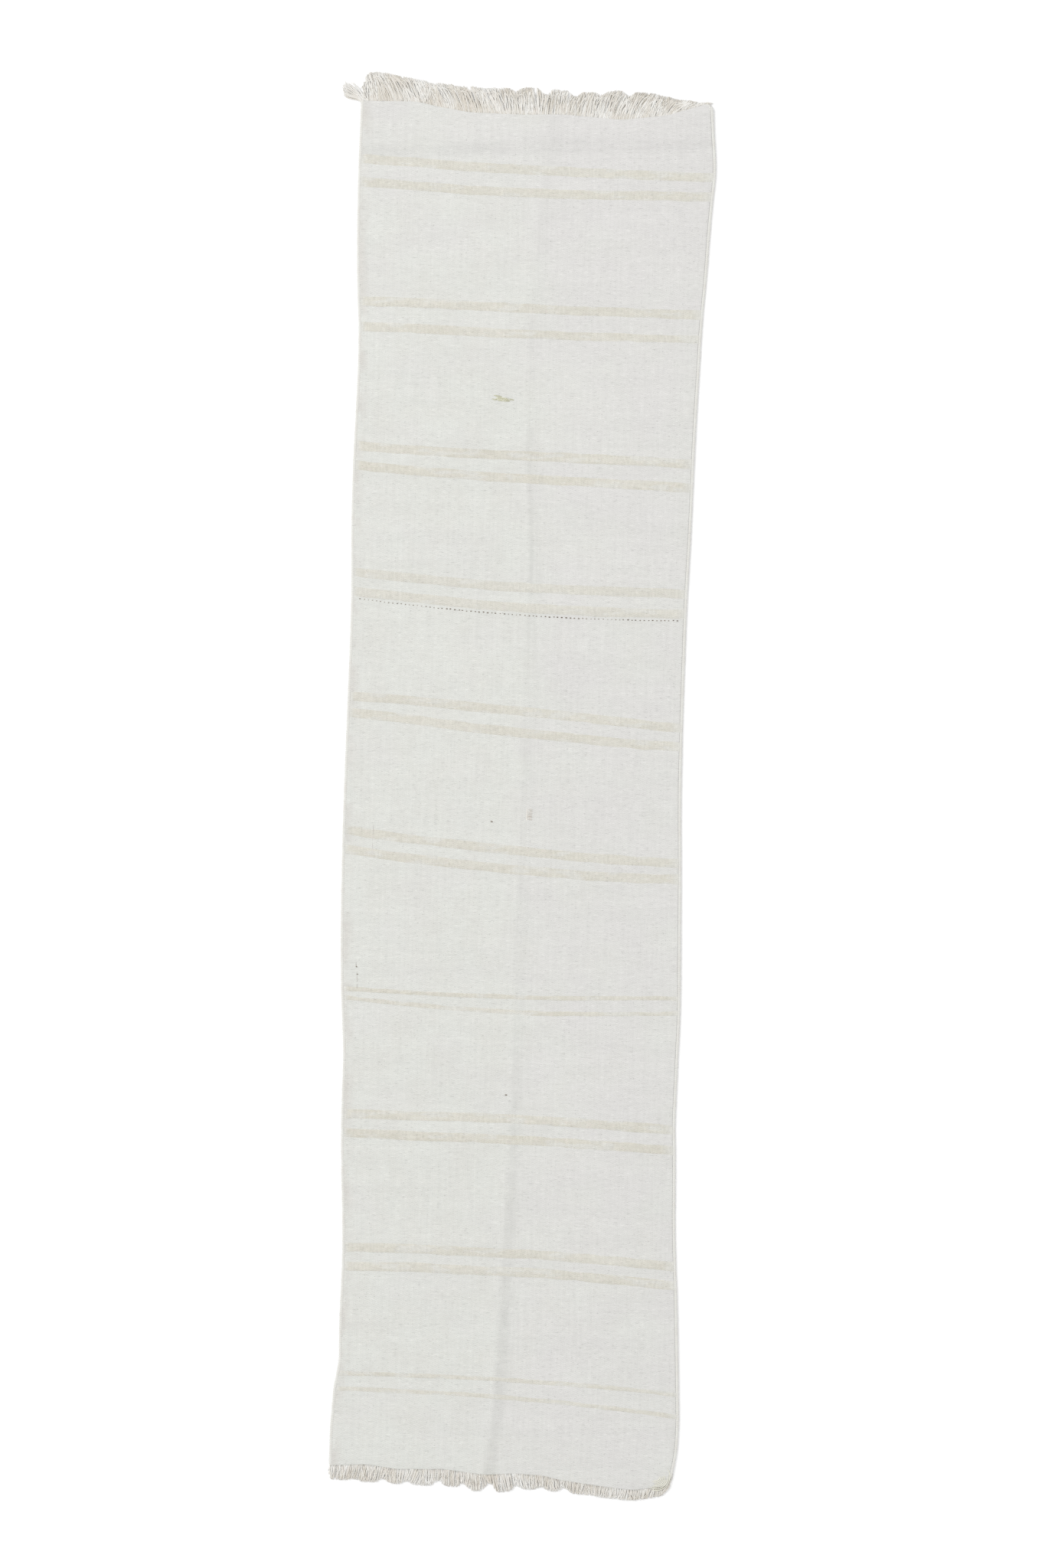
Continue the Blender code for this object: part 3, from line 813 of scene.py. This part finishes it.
far_cloth = make_ground("far_cloth", None, FAR_JOIN_Y, (FAR_FOLD_Y,))
middle_cloth = make_ground("middle_cloth", FAR_JOIN_Y, NEAR_JOIN_Y)
near_cloth = make_ground("near_cloth", NEAR_JOIN_Y, None, (NEAR_FOLD_Y,))
carried = {far_cloth: [], middle_cloth: [], near_cloth: []}


def follow(piece, y_low, y_high):
    """Rides a cloth piece on its body; one that crosses or touches a fold is only baked in place, on no
    body.
    """
    for side, outer in ((1, "far_end"), (-1, "near_end")):
        pivot = Vector(JOINTS[outer + "_fold"]["pos_m"])
        if side * (y_high if side > 0 else y_low) < side * (pivot.y - side * FOLD_REACH):
            continue
        if side * (y_low if side > 0 else y_high) > side * (pivot.y + side * FOLD_REACH):
            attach(piece, outer)
        else:
            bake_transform(piece)
        return
    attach(piece, "middle")


for cloth, node, low, high in (
    (far_cloth, "far_panel", FAR_JOIN_Y, PAST_ENDS_Y),
    (middle_cloth, "middle_panel", NEAR_JOIN_Y, FAR_JOIN_Y),
    (near_cloth, "near_panel", -PAST_ENDS_Y, NEAR_JOIN_Y),
):
    follow(cloth, low, high)
    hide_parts(node)

stripe_nodes = sorted(name for name in frame["nodes"] if name.startswith("stripe"))
for number, node in enumerate(stripe_nodes):
    pair = node.split("_")[1]
    band = make_stripe(node, 100 + 2 * number, STRIPE_STRENGTHS.get(pair, STRIPE_STRENGTH))
    low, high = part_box(node)
    follow(band, low.y, high.y)
    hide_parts(node)
    holder = far_cloth if low.y > FAR_JOIN_Y else near_cloth if high.y < NEAR_JOIN_Y else middle_cloth
    carried[holder].append(band)

for side, word in ((-1, "left"), (1, "right")):
    corner = left_x if side < 0 else right_x
    inwards = side * 3.5 * CORD_HALF_WIDTH
    far_tip = float(end_y(1, corner(PAST_ENDS_Y) - inwards))
    near_tip = float(end_y(-1, corner(-PAST_ENDS_Y) - inwards))
    for cloth, section, start, end in (
        (far_cloth, "far", far_tip, FAR_JOIN_Y),
        (middle_cloth, "middle", FAR_JOIN_Y, NEAR_JOIN_Y),
        (near_cloth, "near", NEAR_JOIN_Y, near_tip),
    ):
        at_far = CORNER_ROUNDING[1][side > 0] if section == "far" else 0.0
        at_near = CORNER_ROUNDING[-1][side > 0] if section == "near" else 0.0
        cord = make_cord(f"{section}_{word}_cord", side, start, end, (at_far, at_near))
        follow(cord, end, start)
        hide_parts(f"{section}_{word}_selvedge")
        carried[cloth].append(cord)


# ---------------- marker pick, darns, loose threads


def laid(points, rise=0.0):
    """Points (..., 2) laid on the face of the cloth, `rise` above it."""
    points = np.asarray(points, float)
    x, y = points[..., 0], points[..., 1]
    share = (x - left_x(y)) / (right_x(y) - left_x(y))
    return np.stack([x, y, face_z(x, y, share) + rise], -1)


def stitches(name, ends, radius, tones, material, rings=9, bow=0.0, sink=0.25 * MM):
    """Short stitches on the face: `ends` (n, 2, 2), one radius or (n, 1) of them. Their ends dip in."""
    ends = np.asarray(ends, float)
    t = np.linspace(0, 1, rings)[None, :, None]
    flat = ends[:, :1] * (1 - t) + ends[:, 1:] * t
    run = ends[:, 1] - ends[:, 0]
    normal = np.stack([-run[:, 1], run[:, 0]], -1)
    normal /= np.linalg.norm(normal, axis=-1, keepdims=True)
    bows = bow * rng.uniform(-1, 1, (len(ends), 1, 1))
    flat = flat + normal[:, None, :] * bows * np.sin(math.pi * t)
    arch = np.sin(math.pi * t[..., 0]) ** 0.5
    paths = laid(flat)
    paths[..., 2] += -sink + (sink + 0.35 * radius) * arch
    radii = radius * (0.55 + 0.45 * arch)
    return tubes(name, paths, radii, material, {"tone": tones}, ply=0.10, pitch=3 * MM)


def hold(piece, body, node=None):
    """Rides a small piece on a body; `node` is what it stands for, if it has one."""
    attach(piece, body)
    if node:
        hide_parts(node)


far, near = stripe_line("dark_marker_pick")
marks = np.arange(3.0, RIBS - 2.0, 2.0)
marks = marks + 0.12 * rng.normal(size=len(marks))
mark_x = across(marks / RIBS, np.full(len(marks), float(near(0.0))), GROUND_INSET)
mark_y = (far(mark_x) + near(mark_x)) / 2 + 0.15 * MM * rng.normal(size=len(marks))
to_right = np.linspace(-0.06, 0.14, len(marks))
strength = 0.86 + to_right + 0.10 * uneven(len(marks), 5, 3) + 0.12 * rng.normal(size=len(marks))
strength = np.clip(strength, 0.55, 1.15)
half = 0.80 * MM * strength
mark_ends = np.stack([np.stack([mark_x - half, mark_y], -1), np.stack([mark_x + half, mark_y], -1)], 1)
mark_tones = np.clip(1.15 - strength, 0, 1)
mark_radii = 0.58 * MM * strength[:, None]
marker = stitches("marker_pick_floats", mark_ends, mark_radii, mark_tones, DARK, 7, sink=0.2 * MM)
hold(marker, "middle", "dark_marker_pick")


def turned(local, centre, degrees, size):
    """Points (..., 2) in mm about a darn's middle, scaled, turned and placed in the frame."""
    local = np.asarray(local, float) * MM * size
    turn = math.radians(degrees)
    x = local[..., 0] * math.cos(turn) - local[..., 1] * math.sin(turn)
    y = local[..., 0] * math.sin(turn) + local[..., 1] * math.cos(turn)
    return np.stack([centre.x + x, centre.y + y], -1)


def middle_of(node):
    low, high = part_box(node)
    return (low + high) / 2


# The darker stitches between the bright ones are painted shade between the strands; the last two rows are
# the darn's dark tails.
OCHRE_STITCHES = (  # mm: from, to, tone
    ((-12.5, 1.6), (-2.0, 2.3), 0.15),
    ((-9.0, 0.3), (4.5, 1.6), 0.95),
    ((-8.0, -0.9), (5.0, 0.3), 0.25),
    ((-9.5, -2.1), (1.5, -1.2), 0.85),
    ((-6.5, -3.0), (0.5, -2.4), 0.35),
    ((-1.0, -3.1), (3.8, 2.9), 0.90),
    ((1.5, -2.8), (6.0, 2.6), 0.60),
    ((2.5, 1.4), (9.5, 0.5), 0.75),
    ((3.5, -1.6), (8.5, -0.6), 0.30),
    ((-13.3, -2.9), (-7.0, -2.6), 0.10),
    ((7.5, 2.4), (13.3, 2.0), 0.05),
)
SMALL_STITCHES = (
    ((-5.8, 2.6), (6.2, 2.4), 0.95),
    ((-4.6, -2.6), (-4.4, 1.6), 0.10),
    ((-3.2, -2.4), (-3.0, 2.0), 0.90),
    ((-1.9, -2.9), (-1.7, 1.8), 0.05),
    ((-0.4, -2.2), (-0.6, 1.9), 0.55),
    ((0.9, -2.6), (0.7, 1.4), 0.20),
    ((2.2, -2.3), (2.4, 1.7), 0.70),
    ((3.5, -3.0), (3.9, 0.4), 0.15),
    ((4.9, -2.4), (5.2, 1.2), 0.35),
)
for node, name, rows, degrees, size, radius, material, slot in (
    ("ochre_darn", "ochre_darn_stitches", OCHRE_STITCHES, -13.0, 0.94, 0.62, OCHRE, "ochre_yarn"),
    ("small_darn", "small_darn_stitches", SMALL_STITCHES, 88.0, 1.25, 0.52, TAN, "grey_yarn"),
):
    ends = turned([[a, b] for a, b, _ in rows], middle_of(node), degrees, size)
    darn = stitches(name, ends, radius * MM, [tone for _, _, tone in rows], material, 11, 0.5 * MM)
    hold(darn, "middle", node)

SPECKS = (  # mm: from, to
    ((-26.4, -41.0), (-23.9, -41.4)),
    ((-2.3, -358.0), (0.1, -357.8)),
    ((-178.9, -213.0), (-177.4, -213.3)),
    ((-177.8, -221.6), (-176.2, -221.8)),
)
LOOSE_THREADS = (
    ((-178.8, -207.0), (-178.2, -213.5)),
    ((-178.2, -219.0), (-177.0, -219.6)),
    ((-177.5, -223.0), (-176.9, -231.0)),
    ((-177.2, -232.5), (-176.6, -240.0)),
    ((-162.4, -46.0), (-163.0, -66.0)),
    ((-162.9, -68.0), (-162.1, -85.0)),
    ((-187.5, -240.5), (-184.0, -240.3)),
)
ends = np.array(LOOSE_THREADS) * MM
tones = np.linspace(0, 1, len(ends))
loose = stitches("loose_threads", ends, 0.30 * MM, tones, GREY, 9, 0.3 * MM, 0.15 * MM)
hold(loose, "middle")
ends = np.array(SPECKS) * MM
tones = np.linspace(0, 0.4, len(ends))
specks = stitches("knot_specks", ends, 0.62 * MM, tones, DARK, 7, sink=0.2 * MM)
hold(specks, "middle")
carried[middle_cloth] += [marker, loose, specks]


# ---------------- fringe


def tassels_of(prefix):
    return sorted(name for name in frame["nodes"] if name.startswith(prefix + "_tassel"))


def pivot_of(node):
    return Vector(JOINTS[node + "_sway"]["pos_m"])


def reach_line(side, nodes, scallop, seed):
    """(x, y) samples of the line that the tips come to: each tassel's own tip, drawn in between."""
    tips = []
    for node in nodes:
        points = points_of(node)
        tip = points[np.argmax(side * points[:, 1])]
        tips.append((tip[0], tip[1]))
    tips = np.array(sorted(tips))
    grid = np.arange(left_x(side * PAST_ENDS_Y) - 12 * MM, right_x(side * PAST_ENDS_Y) + 12 * MM, MM)
    line = smoothed(np.interp(grid, tips[:, 0], tips[:, 1]), 9) + side * 1.4 * MM
    random = np.random.default_rng(seed)
    depth = random.uniform(0.1, 1.0, len(tips) - 1) ** 2
    root = end_y(side, grid)
    between = (tips[1:, 0] + tips[:-1, 0]) / 2 + random.normal(size=len(depth)) * 3 * MM
    for place, share in zip(between, depth):
        bite = np.exp(-(np.abs((grid - place) / (6 * MM)) ** 2.5))
        line = line - bite * share * scallop * (line - root)
    return grid, line


# Layers of a fringe, lowest first: distance between its yarns, how far they gather into bunches, how
# much they bend, the share that curl, and how high they lie in yarn radii.
FAR_LAYERS = (
    (1.05 * MM, 0.00, 0.5 * MM, 0.00, 1.1),
    (1.20 * MM, 0.24, 1.3 * MM, 0.12, 2.3),
    (2.00 * MM, 0.42, 3.0 * MM, 0.60, 3.4),
)
NEAR_LAYERS = (
    (1.05 * MM, 0.05, 0.3 * MM, 0.00, 1.1),
    (1.60 * MM, 0.30, 0.8 * MM, 0.06, 2.3),
    (2.90 * MM, 0.40, 1.4 * MM, 0.20, 3.3),
)


def make_fringe(side, nodes, leans, scallop, layers, rounding, taper, seed):
    """Dense yarns along an end, in layers. Each runs from the cloth to the line of the tips.

    `leans` are degrees by share of the width, `rounding` the corners' radii, and `taper` the share of
    the full length by distance from the right edge.
    """
    random = np.random.default_rng(seed)
    grid, line = reach_line(side, nodes, scallop, seed + 1)
    pivot_x = np.array([pivot_of(node).x for node in nodes])
    edge_low, edge_high = left_x(side * SIDES_END_Y), right_x(side * SIDES_END_Y)
    low, high = edge_low + LEFT_MARGIN, edge_high - RIGHT_MARGINS[side]
    yarns = []
    for (pitch, gather, bending, curling, layer_height), contrast in zip(layers, LAYER_CONTRASTS):
        count = int((high - low) / pitch)
        root_x = np.linspace(low, high, count) + 0.3 * MM * random.normal(size=count)
        share = (root_x - low) / (high - low)
        lean = np.tan(np.radians(np.interp(share, *leans) + 6 * random.normal(size=count)))
        root_y = end_y(side, root_x)
        bunch_x = np.sort(random.uniform(low, high, int((high - low) / (11 * MM))))
        bunch = bunch_x[np.argmin(np.abs(root_x[:, None] - bunch_x), axis=1)]
        length = np.abs(np.interp(root_x, grid, line) - root_y)
        tip_x = root_x + lean * length + gather * (bunch - root_x)
        tip_x = np.clip(tip_x, edge_low - 1 * MM, edge_high - 1.5 * MM)
        curve = np.interp(edge_high - tip_x, *taper)
        for corner, radius in zip((tip_x - edge_low, edge_high - tip_x), rounding):
            inside = np.clip((corner + 1.5 * MM) / radius, 0, 1)
            curve = curve * np.sqrt(np.clip(1 - (1 - inside) ** 2, 0.04, 1))
        ragged = np.abs(random.normal(size=count)) * (0.5 * MM + 0.02 * length)
        run = (np.interp(tip_x, grid, line) - root_y) * curve - side * ragged
        height = YARN_RADIUS * layer_height
        bend = bending * random.normal(size=(2, count))
        across_by = tip_x - root_x
        places = (
            (root_x, root_y - side * YARN_ROOT, 1.1 * MM),
            (root_x, root_y + 0.10 * run, 0.6 * MM + 0.6 * height),
            (root_x + 0.35 * across_by + bend[0], root_y + 0.42 * run, height * 1.1),
            (root_x + 0.75 * across_by + bend[1], root_y + 0.78 * run, height * 1.05),
            (tip_x, root_y + run, height),
        )
        corners = np.stack([np.stack([x, y, np.full(count, z)], -1) for x, y, z in places], 1)
        curled = random.uniform(size=count) < curling
        corners[curled, 3, 0] += 1.2 * bend[1][curled]
        corners[curled, 3, 1] += 0.40 * run[curled]
        corners[curled, 4, 0] -= np.sign(bend[1][curled]) * 1.6 * MM
        corners[curled, 4, 1] -= 0.30 * run[curled]
        thinning = np.clip((1 - np.linspace(0, 1, YARN_RINGS)) / 0.10, 0.4, 1.0)
        radii = YARN_RADIUS * random.uniform(0.84, 1.08, (count, 1)) * thinning
        tones = FRINGE_TONES[side] + contrast * random.normal(size=count)
        tones = np.clip(tones + 0.1 * np.sin(root_x / (9 * MM)), 0, 1)
        owners = np.argmin(np.abs(root_x[:, None] - pivot_x), axis=1)
        # which yarns get painted shade at their root, and how much
        dashes = random.uniform(size=count) < DASH_SHARES[side]
        dashes = dashes * random.uniform(0.5, 1.0, count)
        yarns.append((curve_points(corners), radii, tones, owners, dashes))
    paths, radii, tones, owners, dashes = map(np.concatenate, zip(*yarns))
    made = []
    for number, node in enumerate(nodes):
        mine = owners == number
        data = {"tone": tones[mine], "dash": dashes[mine]}
        made.append(tubes(f"{node}_yarns", paths[mine], radii[mine], FRINGE, data))
        join_tassel(made[-1], node)
    return made


def join_tassel(piece, node):
    """Bakes a tassel's yarns in place in the frame and hides the tassel's node."""
    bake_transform(piece)
    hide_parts(node)


def make_stray(node, count=30, seed=5):
    """The tassel that points out over the far left corner, narrow at its root and full at its tip."""
    random = np.random.default_rng(seed)
    pivot = np.array(pivot_of(node)[:])
    points = points_of(node)
    away = points[:, :2] - pivot[:2]
    tip = away[np.argmax(np.hypot(*away.T))]
    length = np.hypot(*tip)
    ahead = tip / length
    beside = np.array([-ahead[1], ahead[0]])
    spread = random.uniform(-1, 1, count)
    reach = length * (0.98 - 0.24 * np.abs(spread) ** 1.4 - 0.22 * random.uniform(size=count) ** 2)
    corners = []
    for out, far_out in zip(spread, reach):
        bend = 1.4 * MM * random.normal()
        height = YARN_RADIUS * random.uniform(1.1, 3.4)
        flat = [
            pivot[:2] - ahead * 5 * MM + beside * out * 1.6 * MM + np.array([3 * MM, -2 * MM]),
            pivot[:2] + ahead * 0.22 * far_out + beside * (out * 1.6 - 4.2) * MM,
            pivot[:2] + ahead * 0.40 * far_out + beside * (out * 7.5 * MM - 0.6 * MM + bend),
            pivot[:2] + ahead * 0.78 * far_out + beside * (out * 10.5 * MM + 1.5 * MM - bend),
            pivot[:2] + ahead * far_out + beside * (out * 8.0 * MM + 0.3 * MM + bend),
        ]
        heights = (1.1 * MM, 1.5 * MM, height * 1.1, height, height)
        corners.append([(*point, z) for point, z in zip(flat, heights)])
    paths = curve_points(corners)
    radii = YARN_RADIUS * 0.95 * np.clip((1 - np.linspace(0, 1, YARN_RINGS)) / 0.3, 0.3, 1.0)
    data = {"tone": random.uniform(0.35, 1.0, count), "dash": np.zeros(count)}
    piece = tubes(f"{node}_yarns", paths, radii, FRINGE, data)
    join_tassel(piece, node)
    return piece


def make_curls(count=7, seed=9):
    """Yarn ends turned back over the near right corner of the face, in arcs one inside another."""
    random = np.random.default_rng(seed)
    corner_x = float(right_x(-SIDES_END_Y))
    corner_y = float(end_y(-1, corner_x - 18 * MM))
    middle = np.array([corner_x - 20 * MM, corner_y + 13 * MM])
    t = np.linspace(0, 1, YARN_RINGS)
    paths = []
    for number in range(count):
        radius = (5.0 + 1.9 * number) * MM
        start = math.radians(-108 + 8 * random.normal())
        turn = math.radians(112 + 12 * random.normal())
        angle = start + turn * t
        flat = middle + radius * np.stack([np.cos(angle), np.sin(angle)], -1)
        paths.append(laid(flat, 0.22 * MM))
    radii = 0.46 * MM * np.clip(np.minimum(t, 1 - t) / 0.10, 0.3, 1.0)
    piece = tubes("near_corner_curls", paths, radii, PALE, {"tone": random.uniform(0.3, 1.0, count)})
    hold(piece, "near_end")
    return piece


stray, *far_nodes = tassels_of("far")
near_nodes = tassels_of("near")
FAR_LEANS = ((0.0, 0.10, 0.30, 0.45, 0.60, 0.80, 0.97), (-8.0, -27.0, -26.0, -10.0, 12.0, 27.0, 34.0))
NEAR_LEANS = ((0.0, 0.25, 0.5, 0.75, 1.0), (-4.0, -12.0, 10.0, -2.0, -14.0))
FAR_TAPER = ((0.0, 4 * MM, 12 * MM, 25 * MM, 40 * MM, 60 * MM), (0.2, 0.25, 0.4, 0.72, 0.8, 1.0))
NEAR_TAPER = ((0.0, 6 * MM, 14 * MM, 24 * MM), (0.30, 0.50, 0.85, 1.0))
far_fringe = make_fringe(1, far_nodes, FAR_LEANS, 0.22, FAR_LAYERS, (14 * MM, 4 * MM), FAR_TAPER, 31)
far_fringe.append(make_stray(stray))
near_fringe = make_fringe(-1, near_nodes, NEAR_LEANS, 0.60, NEAR_LAYERS, (6 * MM, 12 * MM), NEAR_TAPER, 47)
near_fringe.append(make_curls())
carried[far_cloth] += far_fringe
carried[near_cloth] += near_fringe


# ---------------- floor, light and camera


def make_floor():
    look = Look("pale_floor", roughness=0.9, sheen=0.0)
    look.place = look.node("ShaderNodeTexCoord").outputs["Object"]
    grain = look.noise((3.0, 3.0, 3.0))
    colour = look.mix(look.spread(grain, 0.3, 0.7), (0.955, 0.955, 0.955), (0.965, 0.965, 0.965))
    mesh = bpy.data.meshes.new("floor")
    signs = ((-1, -1), (1, -1), (1, 1), (-1, 1))
    corners = [(x * FLOOR_HALF, y * FLOOR_HALF, -FLOOR_DROP) for x, y in signs]
    mesh.from_pydata(corners, [], [(0, 1, 2, 3)])
    mesh.materials.append(look.finish(colour))
    add_object("floor", mesh)


def make_light(name, place, size, watts):
    """A square soft light that faces the middle of the floor."""
    light = bpy.data.lights.new(name, "AREA")
    light.shape = "SQUARE"
    light.size = size
    light.energy = watts
    lamp = add_object(name, light)
    lamp.location = place
    lamp.rotation_mode = "QUATERNION"
    lamp.rotation_quaternion = (-Vector(place)).to_track_quat("-Z", "Y")


def make_camera():
    """Straight above the runner, turned a little, so that it leans as it does in the studio view."""
    camera = bpy.data.cameras.new("camera")
    camera.lens = 85.0
    camera.sensor_width = 36.0
    camera.clip_end = 100.0
    holder = add_object("camera", camera)
    holder.location = (*VIEW_CENTRE, VIEW_HEIGHT * camera.lens / camera.sensor_width)
    holder.rotation_euler = (0.0, 0.0, math.radians(VIEW_TURN))
    bpy.context.scene.camera = holder


make_floor()
make_light("left_softbox", (-4.0, 2.0, 4.6), 3.2, 165.0)
world = bpy.data.worlds.new("studio")
world.use_nodes = True
world.node_tree.nodes["Background"].inputs["Color"].default_value = (1.0, 1.0, 1.0, 1.0)
world.node_tree.nodes["Background"].inputs["Strength"].default_value = 0.88
bpy.context.scene.world = world
bpy.context.scene.view_settings.view_transform = "Standard"
make_camera()
